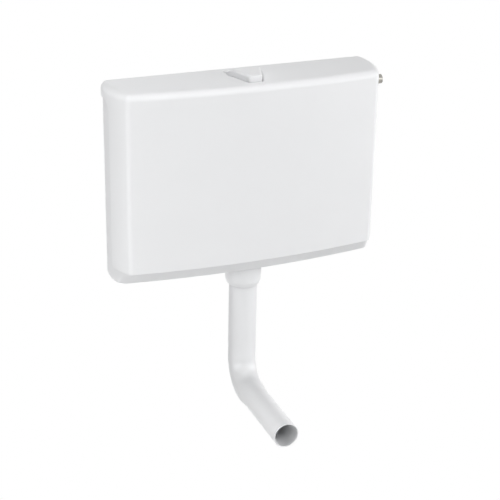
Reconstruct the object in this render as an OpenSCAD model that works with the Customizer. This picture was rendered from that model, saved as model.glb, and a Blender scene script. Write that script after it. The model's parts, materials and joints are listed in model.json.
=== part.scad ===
// Wall-hung toilet cistern: bowed cover hood, tilting flush key, float valve and flush bend.
// The wall is the plane y = 0, the front faces -Y, and the origin is midway between the wall screws.

/* [Body] */
// Width of the hood at the wall
hood_w = 476; // [450:1:500]
// Width of the hood across its front corners
front_w = 443; // [430:1:455]
// Depth from the wall to the middle of the front
depth = 110; // [108:1:125]
// How far the front bows out between its corners
bow = 16; // [10:1:20]
// How far each side bows out between the wall and its front corner
side_bow = 10; // [7:1:12]
// Height from the tank's underside to the top of the hood
body_h = 338; // [322:1:374]
// Height of the hood's front panel
panel_h = 312; // [270:1:314]
// Radius of the hood's rounded edges
edge_r = 12; // [9:1:14]
// Wall of the hood
hood_t = 2.5; // [2:0.1:3]
// Clearance between the hood and the tank
hood_gap = 0.5; // [0.4:0.1:1]
// Depth of the hood's skirt along its sides
skirt_h = 22; // [20:1:30]
// Depth of the hood's return behind its front corner
return_d = 46; // [36:1:50]
// Radius where the skirt turns down into the return
return_r = 20; // [12:1:24]
// Wall of the tank
wall = 3.5; // [3:0.5:4]
// How far the tank's rim lies below the top of the hood
rim_drop = 16; // [15:0.5:19]
// Height of the slope along the tank's lower front edge
slope_h = 28; // [22:1:34]
// Depth of that slope
slope_d = 22; // [16:1:24]
// Radius of the tank's upright front edges
tank_r = 20; // [12:1:28]

/* [Wall fixing] */
// How far the wall screws lie below the top of the hood
hang_drop = 44; // [34:1:60]
// Distance between the wall screws
screw_pitch = 300; // [240:5:360]
// Diameter of the wall screw holes
screw_d = 8; // [6:0.5:10]

/* [Flush key] */
// Width of the key's opening
key_w = 59; // [54:1:64]
// Distance from the wall to the back of the key's opening
key_set = 13; // [11:1:16]
// Straight length of the opening's sides
key_straight = 25; // [22:1:28]
// Length of the opening's tapered nose
key_nose = 51; // [51:1:56]
// Width of the nose at its front
key_front_w = 25; // [21:1:30]
// Radius of the nose's front corners
key_corner_r = 6; // [4.5:0.5:8]
// Clearance round the key
key_gap = 1.4; // [1.2:0.1:1.8]
// Height of the key above the hood
key_rise = 12; // [9:0.5:14]
// Wall of the key
key_t = 2.2; // [1.8:0.1:2.6]
// Diameter of the key's hinge pin
key_pin_d = 3; // [2.5:0.1:3.4]
// Wire diameter of the key's spring
spring_wire = 1.2; // [0.8:0.1:1.6]
// Mean diameter of the key's spring
spring_d = 9; // [7:0.5:10]
// Number of curls in the key's spring
spring_curls = 6; // [4:1:8]

/* [Flush valve] */
// Distance from the wall to the outlet's axis
outlet_set = 46; // [44:1:50]
// Diameter of the valve's cage
cage_d = 72; // [68:1:76]
// Height of the valve's cage
cage_h = 130; // [110:1:150]
// Outside diameter of the lifted overflow tube
tube_d = 32; // [28:1:34]
// How far the overflow tube's top lies below the top of the hood
overflow_drop = 80; // [72:1:100]
// Outside diameter of the outlet spigot
spigot_d = 54; // [53:0.5:55]
// Length of the outlet spigot below the tank
spigot_l = 32; // [30:1:34]
// Bore of the valve seat
seat_d = 42; // [40:1:44]

/* [Flush bend] */
// Outside diameter of the bend's upright leg
pipe_d = 50; // [48:0.5:51]
// Outside diameter of the bend's outlet leg
pipe_end_d = 45; // [40:0.5:47]
// Wall of the bend
pipe_t = 2; // [1.6:0.1:2.5]
// Drop from the tank's underside to the axis of the outlet leg
bend_drop = 239; // [190:1:300]
// Reach from the upright axis to the open end
bend_reach = 208; // [160:1:280]
// Radius of the bend's centre line
bend_r = 50; // [40:1:70]

/* [Coupling nut] */
// Diameter of the coupling nut
nut_d = 65; // [64.5:0.5:68]
// Distance from the tank's underside to the nut's lower end
nut_drop = 40; // [39:0.5:44]

/* [Water inlet] */
// Distance from the wall to the inlet's axis
inlet_set = 22; // [21:1:28]
// How far the inlet's axis lies below the top of the hood
inlet_drop = 38; // [37:1:46]
// Outside diameter of the inlet's thread
inlet_d = 16.6; // [13:0.1:21]
// Length of the inlet's thread outside the tank
inlet_l = 25; // [20:1:40]
// Length of the fill valve's body
fill_l = 48; // [44:1:54]
// Length of the float's arm
arm_l = 85; // [80:1:88]
// Diameter of the float
float_d = 56; // [48:1:58]
// Length of the float
float_l = 64; // [50:1:70]

/* [Hidden] */
$fn = 64;

white = [0.93, 0.93, 0.92];
warm_white = [0.88, 0.88, 0.86];
grey = [0.55, 0.57, 0.6];
blue = [0.35, 0.5, 0.68];
black = [0.12, 0.12, 0.13];
brass = [0.78, 0.62, 0.3];
steel = [0.7, 0.71, 0.73];
foam = [0.95, 0.94, 0.9];

// Small sizes shared by several pieces
seat_gap = 0.3;       // between faces that meet but move apart
run_gap = 0.05;       // round a pin or plunger that turns or slides
fit_gap = 0.05;       // round a piece that is fixed in another
past = 1;             // how far a cut runs past a face

// Heights
top = hang_drop;
rim = top - rim_drop;
base = top - body_h;
floor_z = base + wall;
panel_low = top - panel_h;

// Bowed front and bowed, tapered sides, seen from above
bow_r = (pow(front_w/2, 2) + bow*bow)/(2*bow);
bow_y = bow_r - depth;
bow_half = 12;
side_dx = (hood_w - front_w)/2;
side_dy = depth - bow;
side_len = sqrt(side_dx*side_dx + side_dy*side_dy);
side_in = [-side_dy, side_dx]/side_len;
side_r = (pow(side_len/2, 2) + side_bow*side_bow)/(2*side_bow);
side_c = [(hood_w - side_dx)/2, -side_dy/2] + side_in*(side_r - side_bow);
tank_in = hood_t + hood_gap;      // tank's outside, measured in from the hood's outside
bow_steps = 12;
side_steps = 8;

// Half width at depth y of an outline that lies k inside the hood's outside
function side_x(k, y) = side_c.x + sqrt(pow(side_r - k, 2) - pow(y - side_c.y, 2));

// Front of such an outline at x
function front_y(k, x) = bow_y - sqrt(pow(bow_r - k, 2) - x*x);

// Point that lies k inside both the right side and the front
function corner(k) =
    let (apart = [0, bow_y] - side_c, d = norm(apart), e = apart/d, r = side_r - k,
        along = (r*r - pow(bow_r - k, 2) + d*d)/(2*d))
    side_c + along*e + sqrt(r*r - along*along)*[e.y, -e.x];

// Right side of such an outline, from y = back to where a corner rounded to r starts
function side_arc(k, r, back) =
    let (rk = side_r - k, c = corner(k + r) - side_c, a0 = asin((back - side_c.y)/rk), a1 = atan2(c.y, c.x))
    [for (i = [0:side_steps - 1]) let (a = a0 + (a1 - a0)*i/side_steps) side_c + rk*[cos(a), sin(a)]];

// Rounded upright edge of radius r on an outline that lies k inside the hood's outside
edge_steps = 6;
function upright_edge(k, r) =
    let (c = corner(k + r), a0 = atan2(c.y - side_c.y, c.x - side_c.x), a1 = atan2(c.y - bow_y, c.x))
    concat([for (i = [0:edge_steps - 1]) let (a = a0 + (a1 - a0)*i/edge_steps) c + r*[cos(a), sin(a)]],
        [c + (r + past)*[cos(a1), sin(a1)]]);

function mirrored(points) = [for (i = [len(points) - 1:-1:0]) [-points[i].x, points[i].y]];

module along_x(from, to) {
    translate([from, 0, 0]) rotate([90, 0, 90]) linear_extrude(to - from) children();
}

module rod_x(r, from, to, y, z) {
    translate([from, y, z]) rotate([0, 90, 0]) cylinder(r = r, h = to - from);
}

module rod_y(r, from, to, x, z) {
    translate([x, to, z]) rotate([90, 0, 0]) cylinder(r = r, h = to - from);
}

module ring(ro, ri, low, high) {
    translate([0, 0, low]) difference() {
        cylinder(r = ro, h = high - low);
        translate([0, 0, -past]) cylinder(r = ri, h = high - low + 2*past);
    }
}

module block(low, high) {
    translate(low) cube(high - low);
}

// Tank

plan_over = 10;          // how far the outline runs past the front before it is cut to the bow
tank_plan_front = depth + plan_over;
outlet_pad_r = 36;
outlet_pad_h = 3;
inlet_boss_r = 12;
inlet_flange_r = 12;
inlet_nut_w = 5;
inlet_nut_r = inlet_d/2 + inlet_nut_w;
inlet_seat_r = max(inlet_nut_r, inlet_flange_r);
inlet_clear = 0.75;      // between the bowed wall and what is clamped on the boss
inlet_y = -inlet_set;
inlet_z = top - inlet_drop;
inlet_span = [inlet_y - inlet_seat_r, inlet_y + inlet_seat_r];
inlet_widest = min(max(side_c.y, inlet_span[0]), inlet_span[1]);
boss_out = side_x(tank_in, inlet_widest) + inlet_clear;
boss_in = min([for (y = inlet_span) side_x(tank_in + wall, y)]) - inlet_clear;

// Prism of the tank's outline, k inside the hood's outside, with its back at y = back
module tank_prism(k, r, back, low, high) {
    edge = upright_edge(k, r);
    outer = [edge[edge_steps].x, -tank_plan_front];
    right = concat(side_arc(k, r, back), edge, [outer]);
    translate([0, 0, low]) linear_extrude(high - low) polygon(concat(right, mirrored(right)));
}

// Profile of the lower front slope, w inside the tank's outside: where it starts, and its lower end
slope_len = sqrt(slope_h*slope_h + slope_d*slope_d);
function slope_start(w) = base + slope_h + w*(slope_len - slope_h)/slope_d;
function slope_end(w) = bow_r - tank_in - (w*slope_len + (slope_h - w)*slope_d)/slope_h;

// Body turned about the bow's axis, w inside the tank's outside
module bow_block(w, high) {
    front = bow_r - tank_in - w;
    behind = bow_y - past;
    translate([0, bow_y, 0]) rotate([0, 0, -90 - bow_half])
        rotate_extrude(angle = 2*bow_half, $fn = 1080)
            polygon([[behind, base + w], [behind, high], [front, high], [front, slope_start(w)],
                [slope_end(w), base + w]]);
}

module tank_skin(w, high) {
    intersection() {
        tank_prism(tank_in + w, tank_r - w, -w, base + w, high);
        bow_block(w, high + past);
    }
}

module tank() {
    color(white) difference() {
        union() {
            difference() {
                tank_skin(0, rim);
                tank_skin(wall, rim + past);
            }
            translate([0, -outlet_set, base]) cylinder(r = outlet_pad_r, h = wall + outlet_pad_h);
            rod_x(inlet_boss_r, boss_in, boss_out, inlet_y, inlet_z);
        }
        translate([0, -outlet_set, base - past])
            cylinder(r = spigot_d/2 + seat_gap, h = wall + outlet_pad_h + 2*past);
        rod_x(inlet_d/2 + seat_gap, boss_in - past, boss_out + past, inlet_y, inlet_z);
        for (s = [-1, 1]) rod_y(screw_d/2, -wall - past, past, s*screw_pitch/2, 0);
    }
}

// Cover hood

rib_t = 3;
rib_x = [110, 185];
rib_in = 3;              // how far a rib runs past the tank's wall

// Solid of the hood's outline, k inside its outside, open past its back where back > 0
module hood_solid(k, back, low) {
    rho = bow_r - edge_r;
    half = asin(corner(edge_r).x/rho);
    r = edge_r - k;
    front = [for (i = [-bow_steps/2:bow_steps/2]) let (a = 2*half*i/bow_steps)
        [rho*sin(a), bow_y - rho*cos(a)]];
    right = side_arc(edge_r, 0, -edge_r);
    hull() {
        for (p = concat(front, right, mirrored(right))) translate([p.x, p.y, 0]) {
            translate([0, 0, top - edge_r]) sphere(r, $fn = 32);
            translate([0, 0, low]) cylinder(r = r, h = top - edge_r - low, $fn = 32);
            translate([0, 0, low]) cylinder(r = past, h = top - k - low, $fn = 16);
        }
        for (s = [-1, 1])
            translate([s*side_x(edge_r, back), back, top - edge_r])
                rotate([90, 0, 0]) cylinder(r = r, h = past, $fn = 64);
        block([-side_x(k, back), back - past, low], [side_x(k, back), back, top - edge_r]);
    }
}

// Part of the sides that the skirt and the return leave open, seen from the side
module side_opening() {
    upper = top - skirt_h;
    edge = -(depth - bow - return_d);
    along_x(-hood_w, hood_w) {
        translate([edge + return_r, panel_low - past])
            square([-edge - return_r + 2*past, upper - panel_low + past]);
        translate([edge, panel_low - past])
            square([return_r + past, upper - return_r - panel_low + past]);
        translate([edge + return_r, upper - return_r]) circle(return_r);
    }
}

// Ribs under the top that stand on the tank's rim: the front ones run up into the rounded edge
module hood_ribs() {
    for (s = [-1, 1], x = rib_x) {
        block([s*x - rib_t/2, front_y(tank_in, x), rim],
            [s*x + rib_t/2, front_y(tank_in + wall + rib_in, x), top - edge_r/2]);
        block([s*x - rib_t/2, -wall - rib_in, rim], [s*x + rib_t/2, -hood_gap, top - hood_t/2]);
    }
}

module cover_hood() {
    color(white) difference() {
        union() {
            difference() {
                hood_solid(0, 0, panel_low);
                hood_solid(hood_t, 2*past, panel_low - past);
            }
            hood_ribs();
        }
        side_opening();
        translate([0, 0, top - hood_t - past]) linear_extrude(hood_t + 2*past) tongue(0);
    }
}

// Flush key and its frame

key_corner_steps = 6;
key_nose_y = -key_set - key_straight;
key_front_y = key_nose_y - key_nose;
key_taper = atan((key_w - key_front_w)/2/key_nose);
key_back_rise = 1;
key_ramp = 34;
key_front_fall = 1;
key_skirt = 4;           // key's wall below the hood's top
key_heel = 11;           // deeper wall round the hinge
key_heel_l = 14;
frame_rim = 6;
frame_t = 2;
collar_drop = 13;
collar_low = top - collar_drop;
bar_w = 10;
hinge_in = 6.5;
hinge_drop = 7;
hinge_y = -key_set - hinge_in;
hinge_z = top - hinge_drop;
spring_out = 41.5;       // from the hinge to the spring
stem_out = 61.5;         // from the hinge to the stem
spring_y = hinge_y - spring_out;
stem_y = hinge_y - stem_out;
stem_r = 3.5;
stem_boss_r = 6;
stem_boss_h = 8;

// Tongue-shaped outline of the key's opening, g smaller all round
module tongue(g) {
    w = key_w/2 - g;
    c = [key_w/2 - key_corner_r/cos(key_taper) - (key_nose - key_corner_r)*tan(key_taper),
        key_front_y + key_corner_r];
    nose = [for (i = [0:key_corner_steps]) let (a = key_taper + (90 - key_taper)*i/key_corner_steps)
        c + (key_corner_r - g)*[cos(a), -sin(a)]];
    right = concat([[w, -key_set - g], [w, key_nose_y + g*tan(key_taper/2)]], nose);
    polygon(concat(right, mirrored(right)));
}

// Height of the key's upper face at depth y
key_y0 = -key_set - key_gap;
key_y1 = key_front_y + key_gap;
function key_top(y) =
    let (u = min(1, (key_y0 - y)/key_ramp), v = max(0, (key_y0 - key_ramp - y)/(key_y0 - key_ramp - key_y1)))
    top + key_back_rise + (key_rise - key_back_rise)*(1 - cos(180*u))/2 - key_front_fall*v;

// Side view of the key, its upper face lowered by drop, with its lower edges at low and heel_low
module key_profile(drop, low, heel_low) {
    ramp_steps = 8;
    heel_y = key_y0 - key_heel_l;
    upper = [for (i = [0:ramp_steps]) let (y = key_y0 + past - (key_ramp + past)*i/ramp_steps)
        [y, key_top(min(y, key_y0)) - drop]];
    polygon(concat(upper, [[key_y1 - past, key_top(key_y1 - past) - drop], [key_y1 - past, low],
        [heel_y, low], [heel_y, heel_low], [key_y0 + past, heel_low]]));
}

module key_solid(g, drop, low, heel_low) {
    intersection() {
        translate([0, 0, top - key_heel - past])
            linear_extrude(key_heel + key_rise + 2*past) tongue(g);
        along_x(-key_w, key_w) key_profile(drop, low, heel_low);
    }
}

stem_top = key_top(stem_y) - key_t;

module flush_key() {
    color(white) difference() {
        union() {
            difference() {
                key_solid(key_gap, 0, top - key_skirt, top - key_heel);
                key_solid(key_gap + key_t, key_t, top - key_heel - past, top - key_heel - past);
            }
            translate([0, stem_y, stem_top - stem_boss_h])
                cylinder(r = stem_boss_r, h = stem_boss_h + key_t/2);
        }
        translate([0, stem_y, stem_top - stem_boss_h - past])
            cylinder(r = stem_r + fit_gap, h = stem_boss_h + past);
        rod_x(key_pin_d/2 + run_gap, -key_w, key_w, hinge_y, hinge_z);
    }
}

module button_frame() {
    under = top - hood_t;
    color(warm_white) difference() {
        union() {
            translate([0, 0, under - frame_t]) linear_extrude(frame_t) tongue(-frame_rim);
            translate([0, 0, collar_low]) linear_extrude(under - collar_low) tongue(-frame_t);
        }
        difference() {
            translate([0, 0, collar_low - past]) linear_extrude(under - collar_low + 2*past) tongue(0);
            block([-key_w/2 - past, spring_y - bar_w/2, collar_low - past],
                [key_w/2 + past, spring_y + bar_w/2, collar_low + frame_t]);
        }
        rod_x(key_pin_d/2 + fit_gap, -key_w, key_w, hinge_y, hinge_z);
    }
}

module key_pin() {
    color(steel) rod_x(key_pin_d/2, -key_w/2 - frame_t, key_w/2 + frame_t, hinge_y, hinge_z);
}

module push_stem() {
    color(grey) {
        translate([0, stem_y, stem_tip_z]) cylinder(r = stem_r, h = stem_top - stem_tip_z);
        translate([0, stem_y, stem_tip_z]) sphere(stem_r);
    }
}

// Key spring: one wire wound from the frame's bar up to the key

coil_rings = 8;
coil_sides = 6;
coil_low = collar_low + frame_t + spring_wire/2 + seat_gap;
coil_high = key_top(spring_y) - key_t - spring_wire/2 - seat_gap;

function coil_point(i) =
    let (a = 360*i/coil_rings, t = i/(coil_rings*spring_curls))
    [spring_d/2*cos(a), spring_y + spring_d/2*sin(a), coil_low + (coil_high - coil_low)*t];

function coil_ring(i) =
    let (a = 360*i/coil_rings, c = coil_point(i), out = [cos(a), sin(a), 0])
    [for (j = [0:coil_sides - 1]) let (b = 360*j/coil_sides)
        c + spring_wire/2*(cos(b)*out + sin(b)*[0, 0, 1])];

coil_n = coil_rings*spring_curls;
coil_points = [for (i = [0:coil_n]) coil_point(i)];
coil_gap = min([for (i = [0:coil_n], j = [i + coil_rings/2:coil_n]) if (j <= coil_n)
    norm(coil_points[i] - coil_points[j])]) - spring_wire;
echo(least_gap_in_key_spring = coil_gap);

module key_spring() {
    points = [for (i = [0:coil_n]) each coil_ring(i)];
    sides = [for (i = [0:coil_n - 1], j = [0:coil_sides - 1])
        let (a = i*coil_sides + j, b = i*coil_sides + (j + 1)%coil_sides)
        each [[a, a + coil_sides, b], [b, a + coil_sides, b + coil_sides]]];
    first = [for (j = [1:coil_sides - 2]) [0, j, j + 1]];
    last = [for (j = [1:coil_sides - 2]) let (e = coil_n*coil_sides) [e, e + j + 1, e + j]];
    color(steel) polyhedron(points, concat(sides, first, last));
}

// Actuator: bridge over the rim, lever and rod

bridge_w = 40;
bridge_t = 3;
hook_t = 2;
plate_drop = 1;
plate_high = rim - plate_drop;
plate_low = plate_high - bridge_t;
pivot_arm = 23;          // from the outlet's axis to the lever's pin
pivot_y = -outlet_set - pivot_arm;
pivot_drop = 42;
pivot_z = top - pivot_drop;
lever_tilt = 18;         // front of the lever up, at rest
lever_t = 4;
lever_w = 14;
lever_front = 17;
lever_rear = 30;
lever_hub_r = 5;
pin_r = 2;
ear_t = 3;
ear_gap = 1.5;
ear_w = 14;
slot_side = 1.5;         // room round the stem in the bridge
slot_front = 6;
slot_rear = 10;
rod_r = 3;
fork_gap = 0.6;
cross_r = 2;
cross_l = 15;

// The stem's round tip and the cross pin each stand clear of the tilted lever by seat_gap
stem_reach = pivot_y - stem_y;
stem_tip_z = pivot_z + (lever_t/2 + stem_r + seat_gap + stem_reach*sin(lever_tilt))/cos(lever_tilt);
cross_z = pivot_z + (lever_t/2 + cross_r + seat_gap - pivot_arm*sin(lever_tilt))/cos(lever_tilt);

module actuator_bridge() {
    ear_x = lever_w/2 + ear_gap;
    inner_back = -wall - seat_gap;
    inner_front = front_y(tank_in + wall + seat_gap, bridge_w/2);
    color(grey) difference() {
        union() {
            block([-bridge_w/2, inner_front, plate_low], [bridge_w/2, inner_back, plate_high]);
            block([-bridge_w/2, inner_back - hook_t, plate_low], [bridge_w/2, inner_back, rim + hook_t]);
            block([-bridge_w/2, inner_back - hook_t, rim], [bridge_w/2, -hood_gap, rim + hook_t]);
            block([-bridge_w/2, inner_front, plate_low], [bridge_w/2, inner_front + hook_t, rim + hook_t]);
            block([-bridge_w/2, front_y(tank_in + seat_gap, bridge_w/2), rim],
                [bridge_w/2, inner_front + hook_t, rim + hook_t]);
            for (s = [0, 1]) mirror([s, 0, 0])
                block([ear_x, pivot_y - ear_w/2, pivot_z - ear_w/2],
                    [ear_x + ear_t, pivot_y + ear_w/2, plate_low + bridge_t/2]);
        }
        rod_x(pin_r + fit_gap, -bridge_w, bridge_w, pivot_y, pivot_z);
        block([-stem_r - slot_side, stem_y - slot_front, plate_low - past],
            [stem_r + slot_side, stem_y + slot_rear, plate_high + past]);
    }
}

module actuator_lever() {
    fork_in = rod_r + fork_gap;
    color(blue) translate([0, pivot_y, pivot_z]) rotate([-lever_tilt, 0, 0]) difference() {
        union() {
            rod_x(lever_hub_r, -lever_w/2, lever_w/2, 0, 0);
            block([-lever_w/2, -lever_front, -lever_t/2], [lever_w/2, 0, lever_t/2]);
            for (s = [0, 1]) mirror([s, 0, 0])
                block([fork_in, 0, -lever_t/2], [lever_w/2, lever_rear, lever_t/2]);
        }
        rod_x(pin_r + run_gap, -lever_w, lever_w, 0, 0);
    }
}

module lever_pin() {
    half = lever_w/2 + ear_gap + ear_t;
    color(steel) rod_x(pin_r, -half, half, pivot_y, pivot_z);
}

// Flush valve

tube_t = 2;
gasket_t = 3;
gasket_in = 1;
flange_t = 5;
flange_r = 36;
seat_h = 3;
seat_w = 5;
seal_t = 4;
seal_r = 27;
shoe_h = 3;
shoe_r = 24;
tube_tail = 10;
retainer_h = 3;
retainer_w = 3.5;
cage_t = 2.5;
cage_window_h = 34;
cage_window_n = 6;
cage_post = 12;
float_ring_low = 40;
float_ring_h = 50;
float_ring_gap = 3;
yoke_t = 4;
rod_over = 5;
pad_top = floor_z + outlet_pad_h;
flange_low = pad_top + gasket_t;
flange_high = flange_low + flange_t;
seat_z = flange_high + seat_h;
seal_high = seat_z + seal_t;
overflow_z = top - overflow_drop;
cage_high = flange_high + cage_h;
cage_in = cage_d/2 - cage_t;

module at_outlet() {
    translate([0, -outlet_set, 0]) children();
}

module lift_rod() {
    inner = tube_d/2 - tube_t - fit_gap;
    color(grey) at_outlet() {
        translate([0, 0, overflow_z - yoke_t])
            cylinder(r = rod_r, h = cross_z + rod_over - overflow_z + yoke_t);
        rod_x(cross_r, -cross_l/2, cross_l/2, 0, cross_z);
        intersection() {
            block([-tube_d, -yoke_t/2, overflow_z - yoke_t], [tube_d, yoke_t/2, overflow_z]);
            translate([0, 0, overflow_z - yoke_t - past]) cylinder(r = inner, h = yoke_t + 2*past);
        }
    }
}

module overflow_tube() {
    color(warm_white) at_outlet() difference() {
        union() {
            translate([0, 0, seat_z - tube_tail]) cylinder(r = tube_d/2, h = overflow_z - seat_z + tube_tail);
            translate([0, 0, seal_high]) cylinder(r = shoe_r, h = shoe_h);
        }
        translate([0, 0, seat_z - tube_tail - past])
            cylinder(r = tube_d/2 - tube_t, h = overflow_z - seat_z + tube_tail + 2*past);
    }
}

module flush_seal() {
    color(black) at_outlet() ring(seal_r, tube_d/2 + fit_gap, seat_z, seal_high);
}

module seal_ring() {
    color(grey) at_outlet()
        ring(tube_d/2 + retainer_w, tube_d/2 + fit_gap, seat_z - retainer_h, seat_z);
}

module valve_float() {
    low = seal_high + float_ring_low;
    color(foam) at_outlet()
        ring(cage_in - float_ring_gap, tube_d/2 + fit_gap, low, low + float_ring_h);
}

module valve_cage() {
    color(blue) at_outlet() difference() {
        translate([0, 0, flange_high]) cylinder(r = cage_d/2, h = cage_h);
        translate([0, 0, flange_high - past]) cylinder(r = cage_in, h = cage_h - cage_t + past);
        translate([0, 0, cage_high - cage_t - past]) cylinder(r = tube_d/2 + 2*seat_gap, h = cage_t + 2*past);
        for (i = [0:cage_window_n/2 - 1]) rotate([0, 0, 360*i/cage_window_n])
            block([-cage_d, -cage_d*PI/cage_window_n/2 + cage_post/2, flange_high + cage_post/2],
                [cage_d, cage_d*PI/cage_window_n/2 - cage_post/2, flange_high + cage_post/2 + cage_window_h]);
    }
}

socket_depth = 14;
socket_gap = 0.4;

module valve_base() {
    low = base - spigot_l;
    color(grey) at_outlet() difference() {
        union() {
            translate([0, 0, low]) cylinder(r = spigot_d/2, h = flange_high - low);
            translate([0, 0, flange_low]) cylinder(r = flange_r, h = flange_t);
            translate([0, 0, flange_low]) cylinder(r = seat_d/2 + seat_w, h = flange_t + seat_h);
        }
        translate([0, 0, low - past]) cylinder(r = seat_d/2, h = seat_z - low + 2*past);
        translate([0, 0, low - past]) cylinder(r = pipe_d/2 + socket_gap, h = socket_depth + past);
    }
}

module outlet_gasket() {
    color(black) at_outlet() ring(flange_r - gasket_in, spigot_d/2 + fit_gap, pad_top, flange_low);
}

locknut_h = 6;
locknut_w = 2.9;
locknut_r = spigot_d/2 + locknut_w;

module outlet_locknut() {
    color(warm_white) at_outlet() difference() {
        translate([0, 0, base - locknut_h]) cylinder(r = locknut_r, h = locknut_h, $fn = 12);
        translate([0, 0, base - locknut_h - past])
            cylinder(r = spigot_d/2 + fit_gap, h = locknut_h + 2*past);
    }
}

// Coupling nut, cone seal and flush bend

nut_gap = 0.5;           // between the tank and the coupling nut
nut_room = 1;            // between the locknut and the step inside the coupling nut
nut_taper = 1;
nut_cone_h = 8;
nut_lip_w = 2.5;
nut_lip_h = 2;
thread_gap = 0.4;
pipe_gap = 0.8;
cone_h = 4;
cone_gap = 0.4;
nut_high = base - nut_gap;
nut_step = base - locknut_h - nut_room;
nut_low = base - nut_drop;
cone_high = base - spigot_l;
nut_skirt = locknut_r + thread_gap;
nut_bore = spigot_d/2 + thread_gap;
nut_neck = pipe_d/2 + pipe_gap;

// Radius inside the nut at height z, over its cone
function nut_cone(z) =
    nut_neck + (nut_bore - nut_neck)*(z - nut_low - nut_lip_h)/(cone_high - nut_low - nut_lip_h);

module coupling_nut() {
    color(white) at_outlet() rotate_extrude() polygon([
        [nut_skirt, nut_high], [nut_d/2, nut_high], [nut_d/2 - nut_taper, nut_low + nut_cone_h],
        [nut_neck + nut_lip_w, nut_low], [nut_neck, nut_low], [nut_neck, nut_low + nut_lip_h],
        [nut_bore, cone_high], [nut_bore, nut_step], [nut_skirt, nut_step]]);
}

module cone_seal() {
    low = cone_high - cone_h;
    inner = pipe_d/2 + fit_gap;
    color(black) at_outlet() rotate_extrude() polygon([
        [inner, cone_high], [nut_cone(cone_high) - 2*cone_gap, cone_high],
        [nut_cone(low) - cone_gap, low], [inner, low]]);
}

bend_cone_l = 25;
bend_z = base - bend_drop;
bend_top = base - spigot_l + socket_depth - past;

// The bend's solid, k inside its outside, lengthened by extra at both ends
module bend_solid(k, extra) {
    r = pipe_d/2 - k;
    r_end = pipe_end_d/2 - k;
    start = bend_z + bend_r;
    leg = bend_reach - bend_r - bend_cone_l;
    at_outlet() {
        translate([0, 0, start]) cylinder(r = r, h = bend_top - start + extra);
        translate([0, -bend_r, start]) rotate([0, 90, 0])
            rotate_extrude(angle = 90) translate([bend_r, 0]) circle(r);
        translate([0, -bend_r, bend_z]) rotate([90, 0, 0]) cylinder(r1 = r, r2 = r_end, h = bend_cone_l);
        translate([0, -bend_r - bend_cone_l, bend_z]) rotate([90, 0, 0]) cylinder(r = r_end, h = leg + extra);
    }
}

module flush_bend() {
    color(white) difference() {
        bend_solid(0, 0);
        bend_solid(pipe_t, past);
    }
}

// Water inlet and fill valve

inlet_gasket_t = 2.5;
inlet_flange_t = 4;
inlet_bore = 10;
inlet_washer_t = 1.5;
inlet_nut_h = 7;
inlet_end = boss_out + inlet_l;
relief_x = boss_out + inlet_washer_t + inlet_nut_h;
relief_l = 2;            // groove that ends the outer thread
relief_in = 0.8;
tail_l = 12;
tail_r = 8;
flange_x = boss_in - inlet_gasket_t;
body_x1 = flange_x - inlet_flange_t;
body_x0 = body_x1 - fill_l;
body_r = 14;
body_bore = 14;
body_bore_l = 36;
cap_r = 16.5;
cap_end = 5;
cap_skirt = 6;
plunger_r = 5;
plunger_head_r = 6.5;
plunger_head_l = 4;
plunger_in = 12;
spout_r = 9.5;
spout_l = 6;
fill_tube_r = 7;
fill_tube_bore = 5.2;
spout_in = 16;
fill_tube_x = body_x1 - spout_in;
fill_tube_lift = 25;

module inlet_nipple() {
    color(brass) difference() {
        union() {
            rod_x(inlet_d/2 - relief_in, body_x1, inlet_end, inlet_y, inlet_z);
            rod_x(inlet_d/2, body_x1, relief_x, inlet_y, inlet_z);
            rod_x(inlet_d/2, relief_x + relief_l, inlet_end, inlet_y, inlet_z);
            rod_x(inlet_flange_r, body_x1, flange_x, inlet_y, inlet_z);
            rod_x(tail_r, body_x1 - tail_l, flange_x, inlet_y, inlet_z);
        }
        rod_x(inlet_bore/2, body_x1 - tail_l - past, inlet_end + past, inlet_y, inlet_z);
    }
}

module inlet_gasket() {
    color(black) difference() {
        rod_x(inlet_flange_r, flange_x, boss_in, inlet_y, inlet_z);
        rod_x(inlet_d/2 + fit_gap, flange_x - past, boss_in + past, inlet_y, inlet_z);
    }
}

module inlet_washer() {
    color(warm_white) difference() {
        rod_x(inlet_nut_r, boss_out, boss_out + inlet_washer_t, inlet_y, inlet_z);
        rod_x(inlet_d/2 + fit_gap, boss_out - past, boss_out + inlet_washer_t + past, inlet_y, inlet_z);
    }
}

module inlet_locknut() {
    from = boss_out + inlet_washer_t;
    color(brass) difference() {
        translate([from, inlet_y, inlet_z]) rotate([0, 90, 0])
            cylinder(r = inlet_nut_r, h = inlet_nut_h, $fn = 6);
        rod_x(inlet_d/2 + fit_gap, from - past, from + inlet_nut_h + past, inlet_y, inlet_z);
    }
}

strainer_l = 16;
strainer_t = 1;
strainer_in = 3;

module inlet_strainer() {
    to = inlet_end - strainer_in;
    color(blue) difference() {
        rod_x(inlet_bore/2 - fit_gap, to - strainer_l, to, inlet_y, inlet_z);
        rod_x(inlet_bore/2 - strainer_t, to - strainer_l + strainer_t, to + past, inlet_y, inlet_z);
    }
}

module fill_valve_body() {
    color(warm_white) difference() {
        union() {
            rod_x(body_r, body_x0, body_x1, inlet_y, inlet_z);
            translate([fill_tube_x, inlet_y, inlet_z - body_r - spout_l])
                cylinder(r = spout_r, h = body_r + spout_l);
        }
        rod_x(body_bore/2, body_x0 - past, body_x0 + body_bore_l, inlet_y, inlet_z);
        rod_x(tail_r + fit_gap, body_x1 - tail_l, body_x1 + past, inlet_y, inlet_z);
        translate([fill_tube_x, inlet_y, inlet_z - body_r - spout_l - past])
            cylinder(r = fill_tube_r + fit_gap, h = spout_l + past);
        translate([fill_tube_x, inlet_y, inlet_z - body_r - past])
            cylinder(r = fill_tube_bore, h = body_r + past);
    }
}

module fill_tube() {
    low = floor_z + fill_tube_lift;
    color(white) translate([fill_tube_x, inlet_y, 0])
        ring(fill_tube_r, fill_tube_bore, low, inlet_z - body_r);
}

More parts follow.
